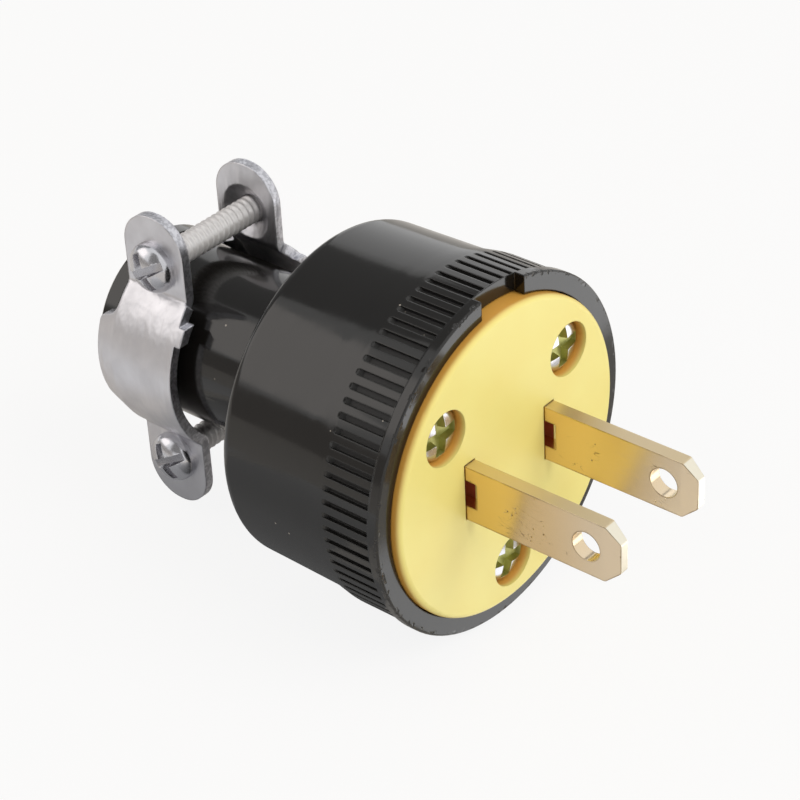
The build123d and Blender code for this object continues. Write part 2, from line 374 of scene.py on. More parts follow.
# %% Start a finish
def start_finish(name, metallic, ior=None):
    """New material with its tree, its shader and the place on the object in metres."""
    material = bpy.data.materials.new(name)
    material.use_nodes = True
    tree = material.node_tree
    shader = tree.nodes["Principled BSDF"]
    shader.inputs["Metallic"].default_value = metallic
    if ior:
        shader.inputs["IOR"].default_value = ior
    place = add_node(tree, "TexCoord").outputs["Object"]
    return material, tree, shader, place


def per_mm(size):
    """Texture scale of a pattern whose features are that many millimetres across."""
    return 1 / (size * MM)


print("scale of a 3 mm pattern:", round(per_mm(3.0)))

# %% [markdown]
# ## Black phenolic moulding
#
# The shell is a thermoset, probably phenolic, pressed in a polished steel mould. That gives a hard
# black gloss with a faint unevenness that bends reflections, and old stock carries specks of dust.
# Scans could give all this, but patterns stay sharp at any distance. A dark base with a low
# roughness does most of the work, a noise 3 mm across varies the gloss, and a sparse cell pattern
# makes the specks.

# %% Black gloss and specks
black_phenolic, tree, shader, place = start_finish("black_phenolic_moulding", 0.0, 1.55)
sweep = add_node(
    tree, "TexNoise", values={"Scale": per_mm(3.0), "Detail": 2.0}, links={"Vector": place}
)
shine = add_node(
    tree,
    "MapRange",
    values={"From Min": 0.3, "From Max": 0.7, "To Min": 0.08, "To Max": 0.15},
    links={"Value": sweep.outputs[0]},
)
cells = add_node(tree, "TexVoronoi", values={"Scale": per_mm(1.5)}, links={"Vector": place})
near = add_node(
    tree,
    "MapRange",
    SMOOTH_STEP,
    {"From Min": 0.05, "From Max": 0.09, "To Min": 1.0, "To Max": 0.0},
    {"Value": cells.outputs["Distance"]},
)
tint = add_node(tree, "SeparateColor", links={0: cells.outputs["Color"]})
rare = add_node(tree, "Math", {"operation": "GREATER_THAN"}, {1: 0.95}, {0: tint.outputs[0]})
speck = add_node(tree, "Math", MULTIPLY, links={0: near.outputs[0], 1: rare.outputs[0]})
colour = add_node(
    tree,
    "Mix",
    COLOUR_MIX,
    {6: linear("#161514"), 7: linear("#A8A29A")},
    {0: speck.outputs[0]},
)
tree.links.new(colour.outputs[2], shader.inputs["Base Color"])
print("finish:", black_phenolic.name)

# %% [markdown]
# ### Grip grooves
#
# Polishing the mould doesn't reach the grip grooves, so they stay dull. A second material could be
# given to their faces, but two measures find them as well: the distance from the axis and the place
# along it.

# %% Dull grooves
GROOVE_TOP = 18.88
GROOVE_MIDDLE = 5.3
GROOVE_HALF = 2.9
along = add_node(tree, "SeparateXYZ", links={0: place}).outputs["Y"]
flat = add_node(tree, "VectorMath", MULTIPLY, {1: (1, 0, 1)}, {0: place}).outputs[0]
reach = add_node(tree, "VectorMath", {"operation": "LENGTH"}, links={0: flat}).outputs["Value"]
sunk = add_node(tree, "Math", {"operation": "LESS_THAN"}, {1: GROOVE_TOP * MM}, {0: reach})
belt = add_node(
    tree,
    "Math",
    {"operation": "COMPARE"},
    {1: GROOVE_MIDDLE * MM, 2: GROOVE_HALF * MM},
    {0: along},
)
groove = add_node(tree, "Math", MULTIPLY, links={0: sunk.outputs[0], 1: belt.outputs[0]})
gloss = add_node(
    tree, "Mix", values={3: 0.55}, links={0: groove.outputs[0], 2: shine.outputs[0]}
)
tree.links.new(gloss.outputs[0], shader.inputs["Roughness"])
print("dull below a radius of mm:", GROOVE_TOP)

# %% [markdown]
# ### Ramp behind the grooves
#
# Behind the grooves the shell narrows so gently that reflections run straight on. The solid has a
# plain cone there, so the shading normal is drawn outward over it. The other edges of the shell get
# a rounded normal, as a mould leaves them.

# %% Soft ramp
RAMP_MIDDLE = 9.9
RAMP_FADE = (1.2, 2.1)
off_ramp = add_node(tree, "Math", {"operation": "SUBTRACT"}, {1: RAMP_MIDDLE * MM}, {0: along})
from_ramp = add_node(tree, "Math", ABSOLUTE, links={0: off_ramp.outputs[0]})
ramp = add_node(
    tree,
    "MapRange",
    SMOOTH_STEP,
    {"From Min": RAMP_FADE[0] * MM, "From Max": RAMP_FADE[1] * MM, "To Min": 0.8, "To Max": 0.0},
    {"Value": from_ramp.outputs[0]},
)
outward = add_node(tree, "VectorMath", {"operation": "NORMALIZE"}, links={0: flat})
edges = add_node(tree, "Bevel", {"samples": 6}, {"Radius": 0.18 * MM})
calm = add_node(
    tree,
    "Mix",
    {"data_type": "VECTOR"},
    links={0: ramp.outputs[0], 4: edges.outputs[0], 5: outward.outputs[0]},
)
level = add_node(tree, "VectorMath", {"operation": "NORMALIZE"}, links={0: calm.outputs[1]})
print("ramp at mm:", RAMP_MIDDLE)

# %% [markdown]
# ### Chipped rim
#
# The front edge of the rim takes the knocks. Its chips are too small to model, so a sparse noise
# dents the shading there.

# %% Rim chips
RIM_EDGE = (18.7, 19.2)
RIM_FRONT = (1.0, 1.6)
outer = add_node(
    tree,
    "MapRange",
    SMOOTH_STEP,
    {"From Min": RIM_EDGE[0] * MM, "From Max": RIM_EDGE[1] * MM},
    {"Value": reach},
)
front = add_node(
    tree,
    "MapRange",
    SMOOTH_STEP,
    {"From Min": RIM_FRONT[0] * MM, "From Max": RIM_FRONT[1] * MM, "To Min": 1.0, "To Max": 0.0},
    {"Value": along},
)
lip = add_node(tree, "Math", MULTIPLY, links={0: outer.outputs[0], 1: front.outputs[0]})
crumb = add_node(
    tree, "TexNoise", values={"Scale": per_mm(0.9), "Detail": 3.0}, links={"Vector": place}
)
struck = add_node(
    tree,
    "MapRange",
    SMOOTH_STEP,
    {"From Min": 0.56, "From Max": 0.66},
    {"Value": crumb.outputs[0]},
)
chips = add_node(tree, "Math", MULTIPLY, links={0: lip.outputs[0], 1: struck.outputs[0]})
chipped = add_node(
    tree,
    "Bump",
    {"invert": True},
    {"Strength": 0.7, "Distance": 0.2 * MM},
    {"Height": chips.outputs[0], "Normal": level.outputs[0]},
)
print("chips outside a radius of mm:", RIM_EDGE[0])

# %% [markdown]
# ### Wavy skin
#
# A pressed skin is never quite true, and that is what makes a moulding look moulded and not turned.
# The mesh could be displaced, but waves this faint only bend reflections. So two bumps do it, one
# 0.4 mm and one 3 mm across.

# %% Two faint waves
peel = add_node(
    tree, "TexNoise", values={"Scale": per_mm(0.4), "Detail": 1.0}, links={"Vector": place}
)
fine = add_node(
    tree,
    "Bump",
    values={"Strength": 0.05, "Distance": 0.02 * MM},
    links={"Height": peel.outputs[0], "Normal": chipped.outputs[0]},
)
wavy = add_node(
    tree,
    "Bump",
    values={"Strength": 0.12, "Distance": 0.06 * MM},
    links={"Height": sweep.outputs[0], "Normal": fine.outputs[0]},
)
tree.links.new(wavy.outputs[0], shader.inputs["Normal"])
print("nodes in the black finish:", len(tree.nodes))

# %% [markdown]
# ## Yellow urea moulding
#
# The face is a lighter thermoset, pressed with less polish, so it is pale lemon, close to matt, and
# slightly uneven in tone. Walls and rounded edges look amber, because light that bounces between
# deep yellow walls loses its blue. More light bounces could show that, at the price of noise. Here
# the depth behind the front face, which is the Y coordinate, drives the change.

# %% Lemon and amber
AMBER_DEPTH = (-0.05, 0.8)
yellow_urea, tree, shader, place = start_finish("yellow_urea_moulding", 0.0, 1.5)
shader.inputs["Roughness"].default_value = 0.42
cloud = add_node(
    tree, "TexNoise", values={"Scale": per_mm(7.0), "Detail": 2.0}, links={"Vector": place}
)
tone = add_node(
    tree,
    "Mix",
    COLOUR_MIX,
    {6: linear("#F0E184"), 7: linear("#F4ED96")},
    {0: cloud.outputs[0]},
)
axes = add_node(tree, "SeparateXYZ", links={0: place})
depth = add_node(
    tree,
    "MapRange",
    SMOOTH_STEP,
    {"From Min": AMBER_DEPTH[0] * MM, "From Max": AMBER_DEPTH[1] * MM},
    {"Value": axes.outputs["Y"]},
)
amber = add_node(
    tree,
    "Mix",
    COLOUR_MIX,
    {7: linear("#E0A84C")},
    {0: depth.outputs[0], 6: tone.outputs[2]},
)
print("finish:", yellow_urea.name)

# %% [markdown]
# ### Blade slots and skin
#
# In the blade slots hardly any light returns, and what does is red-brown, so the walls inside those
# two rectangles get that colour. The skin has a fine grain, and its edges are rounded in the
# shading only, because the mould leaves them just 0.15 mm round.

# %% Slot walls and grain
BLADE_OFFSET = 6.35
SLOT_HALF_WIDTH = 1.0
SLOT_HALF_HEIGHT = 3.5
SLOT_MOUTH = 0.1
across = add_node(tree, "Math", ABSOLUTE, links={0: axes.outputs["X"]})
upright = add_node(tree, "Math", ABSOLUTE, links={0: axes.outputs["Z"]})
column = add_node(
    tree,
    "Math",
    {"operation": "COMPARE"},
    {1: BLADE_OFFSET * MM, 2: SLOT_HALF_WIDTH * MM},
    {0: across.outputs[0]},
)
row = add_node(
    tree,
    "Math",
    {"operation": "LESS_THAN"},
    {1: SLOT_HALF_HEIGHT * MM},
    {0: upright.outputs[0]},
)
inside = add_node(
    tree, "Math", {"operation": "GREATER_THAN"}, {1: SLOT_MOUTH * MM}, {0: axes.outputs["Y"]}
)
opening = add_node(tree, "Math", MULTIPLY, links={0: column.outputs[0], 1: row.outputs[0]})
slot_wall = add_node(tree, "Math", MULTIPLY, links={0: opening.outputs[0], 1: inside.outputs[0]})
colour = add_node(
    tree,
    "Mix",
    COLOUR_MIX,
    {7: linear("#A8503A")},
    {0: slot_wall.outputs[0], 6: amber.outputs[2]},
)
edges = add_node(tree, "Bevel", {"samples": 4}, {"Radius": 0.15 * MM})
grain = add_node(
    tree, "TexNoise", values={"Scale": per_mm(0.3), "Detail": 2.0}, links={"Vector": place}
)
skin = add_node(
    tree,
    "Bump",
    values={"Strength": 0.08, "Distance": 0.02 * MM},
    links={"Height": grain.outputs[0], "Normal": edges.outputs[0]},
)
tree.links.new(colour.outputs[2], shader.inputs["Base Color"])
tree.links.new(skin.outputs[0], shader.inputs["Normal"])
print("nodes in the yellow finish:", len(tree.nodes))

# %% [markdown]
# ## Blanked brass strip
#
# The blades are punched from rolled brass strip. Rolling leaves streaks along the blade, too fine
# to see singly, so they are drawn 0.12 mm apart. The yellow near the root is the face mirrored in
# the brass, so it needs no paint, only a low roughness. The paler colour towards the tip is painted:
# a painted reflection of the white surroundings that the tip mirrors.

# %% Streaks and pale tip
TIP_REFLECTION_SPAN = (-17.0, -8.0)
rolled_brass, tree, shader, place = start_finish("rolled_brass_strip", 1.0)
along = add_node(tree, "Mapping", values={"Scale": (1.0, 0.04, 1.0)}, links={"Vector": place})
streak = add_node(
    tree,
    "TexNoise",
    values={"Scale": per_mm(0.12), "Detail": 3.0},
    links={"Vector": along.outputs[0]},
)
gloss = add_node(
    tree,
    "MapRange",
    values={"From Min": 0.3, "From Max": 0.7, "To Min": 0.17, "To Max": 0.24},
    links={"Value": streak.outputs[0]},
)
spot = add_node(tree, "SeparateXYZ", links={0: place})
# Painted reflection: the sides turn paler and greyer towards the tip, for the white surroundings
# mirrored there.
painted_tip_reflection = add_node(
    tree,
    "MapRange",
    SMOOTH_STEP,
    {"From Min": TIP_REFLECTION_SPAN[0] * MM, "From Max": TIP_REFLECTION_SPAN[1] * MM, "To Min": 1.0, "To Max": 0.0},
    {"Value": spot.outputs["Y"]},
)
side = add_node(
    tree,
    "Mix",
    COLOUR_MIX,
    {6: linear("#EACD9C"), 7: linear("#EDDCC2")},
    {0: painted_tip_reflection.outputs[0]},
)
print("finish:", rolled_brass.name)

# %% [markdown]
# ### Worn places
#
# Handling marks the blades in patches, most of all halfway along the left one. A mask could be
# painted by hand, but a patchy noise and the distance from that place give one as well.

# %% Where the wear is
WEAR_CENTRE = (-BLADE_OFFSET, -7.0, -1.0)
WEAR_REACH = (0.5, 4.5)
patch = add_node(
    tree, "TexNoise", values={"Scale": per_mm(2.5), "Detail": 3.0}, links={"Vector": place}
)
from_wear = add_node(
    tree,
    "VectorMath",
    {"operation": "DISTANCE"},
    {1: [x * MM for x in WEAR_CENTRE]},
    {0: place},
)
rubbed = add_node(
    tree,
    "MapRange",
    SMOOTH_STEP,
    {"From Min": WEAR_REACH[0] * MM, "From Max": WEAR_REACH[1] * MM, "To Min": 0.22, "To Max": 0.0},
    {"Value": from_wear.outputs["Value"]},
)
worn = add_node(
    tree, "Math", {"operation": "ADD"}, links={0: patch.outputs[0], 1: rubbed.outputs[0]}
)
where = add_node(
    tree,
    "MapRange",
    SMOOTH_STEP,
    {"From Min": 0.58, "From Max": 0.68},
    {"Value": worn.outputs[0]},
)
print("most wear at mm:", WEAR_CENTRE)

# %% [markdown]
# ### Pits and scratches
#
# The pits are a cell pattern, and the scratches follow one contour line of a noise, which wanders as
# a scratch does. Only the sides are marked, and the surface normal finds them: they face along X.

# %% Wear on the sides
dots = add_node(tree, "TexVoronoi", values={"Scale": per_mm(0.7)}, links={"Vector": place})
deep = add_node(
    tree,
    "MapRange",
    SMOOTH_STEP,
    {"From Min": 0.08, "From Max": 0.2, "To Min": 1.0, "To Max": 0.0},
    {"Value": dots.outputs["Distance"]},
)
pits = add_node(tree, "Math", MULTIPLY, links={0: deep.outputs[0], 1: where.outputs[0]})
pulled = add_node(tree, "Mapping", values={"Scale": (1.0, 0.3, 1.0)}, links={"Vector": place})
loops = add_node(
    tree,
    "TexNoise",
    values={"Scale": per_mm(0.8), "Detail": 1.0, "Distortion": 0.6},
    links={"Vector": pulled.outputs[0]},
)
contour = add_node(
    tree, "Math", {"operation": "COMPARE"}, {1: 0.5, 2: 0.006}, {0: loops.outputs[0]}
)
faint = add_node(tree, "Math", MULTIPLY, {1: 0.6}, {0: where.outputs[0]})
scratch = add_node(tree, "Math", MULTIPLY, links={0: contour.outputs[0], 1: faint.outputs[0]})
marks = add_node(tree, "Math", MAXIMUM, links={0: pits.outputs[0], 1: scratch.outputs[0]})
normal = add_node(tree, "NewGeometry").outputs["Normal"]
facing = add_node(tree, "SeparateXYZ", links={0: normal})
sideways = add_node(tree, "Math", ABSOLUTE, links={0: facing.outputs["X"]})
wear = add_node(tree, "Math", MULTIPLY, links={0: marks.outputs[0], 1: sideways.outputs[0]})
print("nodes so far:", len(tree.nodes))

# %% [markdown]
# ### Punched edges
#
# The punched edges are duller than the rolled sides. Their paler colour, near white on the end and
# its chamfers, is a painted reflection of the white surroundings that those faces mirror.
# They could be painted face by face, but the normal tells them apart: an edge doesn't face along X,
# and an end faces along Y. The walls of the two openings do so as well, so only the outline of the
# blade counts, which is far from its middle line or near its tip.

# %% Dull edges
EDGE_BAND = (2.2, 2.8)
END_BAND = (-15.4, -14.6)
across = add_node(
    tree,
    "MapRange",
    SMOOTH_STEP,
    {"From Min": 0.5, "From Max": 0.8, "To Min": 1.0, "To Max": 0.0},
    {"Value": sideways.outputs[0]},
)
from_middle = add_node(tree, "Math", ABSOLUTE, links={0: spot.outputs["Z"]})
outer = add_node(
    tree,
    "MapRange",
    SMOOTH_STEP,
    {"From Min": EDGE_BAND[0] * MM, "From Max": EDGE_BAND[1] * MM},
    {"Value": from_middle.outputs[0]},
)
ending = add_node(
    tree,
    "MapRange",
    SMOOTH_STEP,
    {"From Min": END_BAND[0] * MM, "From Max": END_BAND[1] * MM, "To Min": 1.0, "To Max": 0.0},
    {"Value": spot.outputs["Y"]},
)
outline = add_node(tree, "Math", MAXIMUM, links={0: outer.outputs[0], 1: ending.outputs[0]})
punched = add_node(tree, "Math", MULTIPLY, links={0: across.outputs[0], 1: outline.outputs[0]})
endways = add_node(tree, "Math", ABSOLUTE, links={0: facing.outputs["Y"]})
chamfer = add_node(
    tree,
    "MapRange",
    SMOOTH_STEP,
    {"From Min": 0.3, "From Max": 0.6},
    {"Value": endways.outputs[0]},
)
# Painted reflection: the edges are paler and the end nearly white, for the white surroundings they
# mirror.
painted_edge_reflection = add_node(
    tree,
    "Mix",
    COLOUR_MIX,
    {6: linear("#E3D0AC"), 7: linear("#F6F0DE")},
    {0: chamfer.outputs[0]},
)
sides_and_edges = add_node(
    tree,
    "Mix",
    COLOUR_MIX,
    links={0: punched.outputs[0], 6: side.outputs[2], 7: painted_edge_reflection.outputs[2]},
)
dull = add_node(tree, "Math", MULTIPLY, {1: 0.42}, {0: punched.outputs[0]})
rough = add_node(tree, "Math", MAXIMUM, links={0: gloss.outputs[0], 1: dull.outputs[0]})
tree.links.new(rough.outputs[0], shader.inputs["Roughness"])
print("edges from mm:", EDGE_BAND[0])

# %% [markdown]
# ### Tarnished burr
#
# Where a side meets an edge, the punch leaves a burr, and the shade along it is painted as a thin
# brown line. A bevelled normal differs from the true one only there, so the two together draw that
# painted shade line, and the noise of the wear breaks it up. A modelled burr would be far below one
# pixel.

# %% Burr line and surface
BURR_WIDTH = 0.4
near_edge = add_node(tree, "Bevel", {"samples": 8}, {"Radius": BURR_WIDTH * MM})
bend = add_node(
    tree,
    "VectorMath",
    {"operation": "DOT_PRODUCT"},
    links={0: near_edge.outputs[0], 1: normal},
)
burr = add_node(
    tree,
    "MapRange",
    SMOOTH_STEP,
    {"From Min": 0.85, "From Max": 0.99, "To Min": 0.85, "To Max": 0.0},
    {"Value": bend.outputs["Value"]},
)
broken = add_node(
    tree,
    "MapRange",
    values={"From Min": 0.4, "From Max": 0.6, "To Min": 0.35, "To Max": 1.0},
    links={"Value": patch.outputs[0]},
)
ragged = add_node(tree, "Math", MULTIPLY, links={0: burr.outputs[0], 1: broken.outputs[0]})
painted_burr_shade = add_node(tree, "Math", MULTIPLY, links={0: ragged.outputs[0], 1: sideways.outputs[0]})
wear_and_burr_shade = add_node(tree, "Math", MAXIMUM, links={0: wear.outputs[0], 1: painted_burr_shade.outputs[0]})
# The brown is real wear in the pits and scratches, and painted shade in the line along each edge.
colour = add_node(
    tree,
    "Mix",
    COLOUR_MIX,
    {7: linear("#7A6040")},
    {0: wear_and_burr_shade.outputs[0], 6: sides_and_edges.outputs[2]},
)
edges = add_node(tree, "Bevel", {"samples": 4}, {"Radius": 0.1 * MM})
rolled = add_node(
    tree,
    "Bump",
    values={"Strength": 0.02, "Distance": 0.02 * MM},
    links={"Height": streak.outputs[0], "Normal": edges.outputs[0]},
)
pitted = add_node(
    tree,
    "Bump",
    {"invert": True},
    {"Strength": 0.5, "Distance": 0.05 * MM},
    {"Height": wear.outputs[0], "Normal": rolled.outputs[0]},
)
tree.links.new(colour.outputs[2], shader.inputs["Base Color"])
tree.links.new(pitted.outputs[0], shader.inputs["Normal"])
print("nodes in the brass finish:", len(tree.nodes))

# %% [markdown]
# ## Plated screw steel
#
# The screws are cold-headed and thread-rolled, then plated. The heads come out bright and the
# thread satin, and the driver recess is duller, grey on the clamp and olive on the face. Four
# separate recipes could say so, but they share one with other numbers: two tones in soft patches,
# shallow dents and a fine grain. The thread is chalky, which a lower metallic value gives.


# %% Four kinds of plating
def plated_steel(name, bright, dull, rough, dent_size, dent_depth, metallic=1.0):
    """Satin plating: two greys in soft patches, dents of a size in mm, and a fine grain."""
    material, tree, shader, place = start_finish(name, metallic)
    dents = add_node(
        tree,
        "TexNoise",
        values={"Scale": per_mm(dent_size), "Detail": 2.0},
        links={"Vector": place},
    )
    grain = add_node(
        tree, "TexNoise", values={"Scale": per_mm(0.15), "Detail": 2.0}, links={"Vector": place}
    )
    colour = add_node(
        tree,
        "Mix",
        COLOUR_MIX,
        {6: linear(bright), 7: linear(dull)},
        {0: dents.outputs[0]},
    )
    gloss = add_node(
        tree,
        "MapRange",
        values={"From Min": 0.3, "From Max": 0.7, "To Min": rough[0], "To Max": rough[1]},
        links={"Value": grain.outputs[0]},
    )
    soft = add_node(
        tree,
        "Bump",
        values={"Strength": 0.25, "Distance": dent_depth * MM},
        links={"Height": dents.outputs[0]},
    )
    tree.links.new(colour.outputs[2], shader.inputs["Base Color"])
    tree.links.new(gloss.outputs[0], shader.inputs["Roughness"])
    tree.links.new(soft.outputs[0], shader.inputs["Normal"])
    return material


bright_head = plated_steel("bright_plated_head", "#D6D6DB", "#C4C4C9", (0.16, 0.26), 1.2, 0.05)
grey_recess = plated_steel("grey_driver_recess", "#BAB9BE", "#A4A3A8", (0.18, 0.3), 0.6, 0.03)
olive_recess = plated_steel("olive_driver_recess", "#BDBD7C", "#A0A066", (0.3, 0.45), 0.6, 0.03)
satin_thread = plated_steel(
    "satin_rolled_thread", "#ECEBEC", "#D8D7D8", (0.36, 0.48), 0.8, 0.03, metallic=0.55
)
print("finishes:", bright_head.name, grey_recess.name, olive_recess.name, satin_thread.name)

# %% [markdown]
# ## Barrel-plated clamp steel
#
# The clamp halves are blanked from steel strip, pressed to shape and zinc-plated in a barrel. That
# leaves a satin grey in soft patches, and the blanking tool leaves rough edges of bright and dark
# dots. The edges could have a material of their own, but their normal finds them, since no formed
# surface turns far from the X direction.

# %% Satin grey and sheared edges
clamp_zinc, tree, shader, place = start_finish("barrel_zinc_plated_steel", 1.0)
dents = add_node(
    tree, "TexNoise", values={"Scale": per_mm(2.5), "Detail": 2.0}, links={"Vector": place}
)
formed = add_node(
    tree,
    "Mix",
    COLOUR_MIX,
    {6: linear("#E2E1E5"), 7: linear("#C8C7CB")},
    {0: dents.outputs[0]},
)
grain = add_node(
    tree, "TexNoise", values={"Scale": per_mm(0.4), "Detail": 2.0}, links={"Vector": place}
)
contrast = add_node(
    tree,
    "MapRange",
    SMOOTH_STEP,
    {"From Min": 0.4, "From Max": 0.6},
    {"Value": grain.outputs[0]},
)
dotted = add_node(
    tree,
    "Mix",
    COLOUR_MIX,
    {6: linear("#BCBCC2"), 7: linear("#DCDCE2")},
    {0: contrast.outputs[0]},
)
normal = add_node(tree, "NewGeometry").outputs["Normal"]
facing = add_node(tree, "SeparateXYZ", links={0: normal})
sideways = add_node(tree, "Math", ABSOLUTE, links={0: facing.outputs["X"]})
sheared = add_node(
    tree,
    "MapRange",
    SMOOTH_STEP,
    {"From Min": 0.25, "From Max": 0.5, "To Min": 1.0, "To Max": 0.0},
    {"Value": sideways.outputs[0]},
)
colour = add_node(
    tree,
    "Mix",
    COLOUR_MIX,
    links={0: sheared.outputs[0], 6: formed.outputs[2], 7: dotted.outputs[2]},
)
tree.links.new(colour.outputs[2], shader.inputs["Base Color"])
print("finish:", clamp_zinc.name)

# %% [markdown]
# ### Creases and dents
#
# Pressing leaves long creases round the saddle, and the barrel leaves soft dents. Both are shallow,
# so bumps show them: the creases are a noise stretched along Z, and the dents one 2.5 mm across.

# %% Pressed and tumbled surface
drawn = add_node(tree, "Mapping", values={"Scale": (1.0, 1.0, 0.14)}, links={"Vector": place})
crease = add_node(
    tree,
    "TexNoise",
    values={"Scale": per_mm(1.3), "Detail": 2.0},
    links={"Vector": drawn.outputs[0]},
)
gloss = add_node(
    tree,
    "MapRange",
    values={"From Min": 0.3, "From Max": 0.7, "To Min": 0.33, "To Max": 0.42},
    links={"Value": dents.outputs[0]},
)
edges = add_node(tree, "Bevel", {"samples": 8}, {"Radius": 0.3 * MM})
creased = add_node(
    tree,
    "Bump",
    values={"Strength": 0.75, "Distance": 0.2 * MM},
    links={"Height": crease.outputs[0], "Normal": edges.outputs[0]},
)
dented = add_node(
    tree,
    "Bump",
    values={"Strength": 0.25, "Distance": 0.2 * MM},
    links={"Height": dents.outputs[0], "Normal": creased.outputs[0]},
)
tree.links.new(gloss.outputs[0], shader.inputs["Roughness"])
tree.links.new(dented.outputs[0], shader.inputs["Normal"])
print("nodes in the clamp finish:", len(tree.nodes))

# %% [markdown]
# ## Vulcanised fibre
#
# The disc that backs the face is the red-brown vulcanised fibre of such plugs. It is pressed paper,
# so it is matt, with a fine mottle. Almost none of it shows, so one noise between two browns will
# do.

# %% Fibre board
red_fibre, tree, shader, place = start_finish("red_vulcanised_fibre", 0.0, 1.5)
mottle = add_node(
    tree, "TexNoise", values={"Scale": per_mm(0.8), "Detail": 4.0}, links={"Vector": place}
)
colour = add_node(
    tree,
    "Mix",
    COLOUR_MIX,
    {6: linear("#6E3326"), 7: linear("#83422F")},
    {0: mottle.outputs[0]},
)
shader.inputs["Roughness"].default_value = 0.7
tree.links.new(colour.outputs[2], shader.inputs["Base Color"])
print("finish:", red_fibre.name)

# %% [markdown]
# ## Dress the solids
#
# Each solid keeps its shape and gets its finish through its material slot, so a new finish never
# touches the mesh.

# %% Assign the finishes
finish_of = {
    "black_moulding": black_phenolic,
    "yellow_moulding": yellow_urea,
    "insulating_board": red_fibre,
    "blade_brass": rolled_brass,
    "screw_steel": bright_head,
    "clamp_steel": clamp_zinc,
}
for solid in solids.values():
    for holder in solid.material_slots:
        holder.material = finish_of[holder.material.name]
print("dressed:", len(solids))

# %% [markdown]
# ## Screws
#
# The five screws that show have a domed head with a cross recess, and the clamp screws show their
# thread between the ears. They are round, so each is a stack of rings that is turned about its
# axis, like work on a lathe. A screw modifier would do for the head, but here a ring may also change
# its radius with the angle, which the thread needs.

# %% Turned surface
POINTS_PER_RING = 72


def turned_mesh(rings):
    """Closed surface turned about Y from pairs of a radius, or a function of the angle, and a y."""
    build = bmesh.new()
    loops = []
    for radius, y in rings:
        loop = []
        for i in range(POINTS_PER_RING):
            angle = 2 * math.pi * i / POINTS_PER_RING
            r = radius(angle) if callable(radius) else radius
            loop.append(build.verts.new((r * math.cos(angle), y, r * math.sin(angle))))
        loops.append(loop)
    for a, b in zip(loops, loops[1:]):
        for i in range(POINTS_PER_RING):
            j = (i + 1) % POINTS_PER_RING
            build.faces.new((a[i], a[j], b[j], b[i]))
    build.faces.new(reversed(loops[0]))
    build.faces.new(loops[-1])
    bmesh.ops.recalc_face_normals(build, faces=build.faces)
    mesh = bpy.data.meshes.new("turned")
    build.to_mesh(mesh)
    build.free()
    return mesh


print("points round each ring:", POINTS_PER_RING)

# %% [markdown]
# ### Head and thread
#
# The head is a dome on a straight rim, as the heading die leaves it. The thread could be a helix
# swept round the shank, but that needs care at its ends. Instead the radius follows a sloped wave,
# which is what a helical groove looks like when it is unrolled: 0.794 mm from crest to crest on such
# screws.

# %% Profile of a screw
DOME_STEPS = 16
EDGE_BREAK = 0.1
THREAD_PITCH = 0.794
THREAD_DEPTH = 0.2
ROWS_PER_TURN = 10
THREAD_END_SHARE = 0.25


def screw_rings(head_radius, head_height, rim_height, shank_radius, length):
    """Rings of a domed head on a straight rim, then a threaded shank that fades at each end."""
    rings = []
    for step in range(1, DOME_STEPS + 1):
        slope = step / DOME_STEPS * math.pi / 2
        sink = (head_height - rim_height) * math.cos(slope)
        rings.append((head_radius * math.sin(slope), -rim_height - sink))
    rings.append((head_radius, -EDGE_BREAK))
    rings.append((head_radius - EDGE_BREAK, 0.0))
    rings.append((shank_radius, 0.0))
    rows = round(length / THREAD_PITCH * ROWS_PER_TURN)
    for row in range(1, rows + 1):
        y = length * row / rows
        fade = min(1.0, y / THREAD_PITCH, (length - y) / THREAD_PITCH + THREAD_END_SHARE)

        def radius(angle, y=y, fade=fade):
            phase = y / THREAD_PITCH - angle / (2 * math.pi)
            return shank_radius - THREAD_DEPTH * fade * (0.5 - 0.5 * math.cos(2 * math.pi * phase))

        rings.append((radius, y))
    return rings


print("thread pitch and depth in mm:", THREAD_PITCH, THREAD_DEPTH)

# %% [markdown]
# ### Driver recess
#
# A punch drives the cross into the head while it is cold. Two tapered bars, the shape of that
# punch, are cut from the head, because a cut gives true walls and a floor, where a bump would look
# flat from the side. The bars carry the finish of the recess, and the cut hands it on to the walls.

# %% Tapered bars
BAR_RISE = 1.0
BAR_FLARE = 0.1
END_TAPER = 0.25
SIDE_TAPER = 0.17


def tapered_bar(length, width, top, depth):
    """Bar across the head, narrower and shorter at its floor."""
    build = bmesh.new()
    corners = []
    for y, half_x, half_z in (
        (top - BAR_RISE, length / 2 + BAR_FLARE, width / 2 + BAR_FLARE),
        (top + depth, length / 2 - END_TAPER, width / 2 - SIDE_TAPER),
    ):
        for x, z in ((-1, -1), (1, -1), (1, 1), (-1, 1)):
            corners.append(build.verts.new((x * half_x, y, z * half_z)))
    build.faces.new(corners[3::-1])
    build.faces.new(corners[4:])
    for i in range(4):
        j = (i + 1) % 4
        build.faces.new((corners[i], corners[j], corners[4 + j], corners[4 + i]))
    bmesh.ops.recalc_face_normals(build, faces=build.faces)
    mesh = bpy.data.meshes.new("bar")
    build.to_mesh(mesh)
    build.free()
    return mesh


def linked(name, mesh):
    """New object in the scene."""
    piece = bpy.data.objects.new(name, mesh)
    bpy.context.scene.collection.objects.link(piece)
    return piece


def make_cutters(top, slot, cross, recess):
    """The two bars of a cross recess, in the finish of the recess."""
    cutters = []
    for turn, (reach, width, depth) in ((0.0, slot), (math.pi / 2, cross)):
        bar = tapered_bar(reach, width, top, depth)
        bar.transform(Matrix.Rotation(turn, 4, "Y"))
        for finish in (bright_head, recess):
            bar.materials.append(finish)
        bar.polygons.foreach_set("material_index", [1] * len(bar.polygons))
        cutters.append(linked("cutter", bar))
    return cutters


print("bar taper at ends and sides in mm:", END_TAPER, SIDE_TAPER)

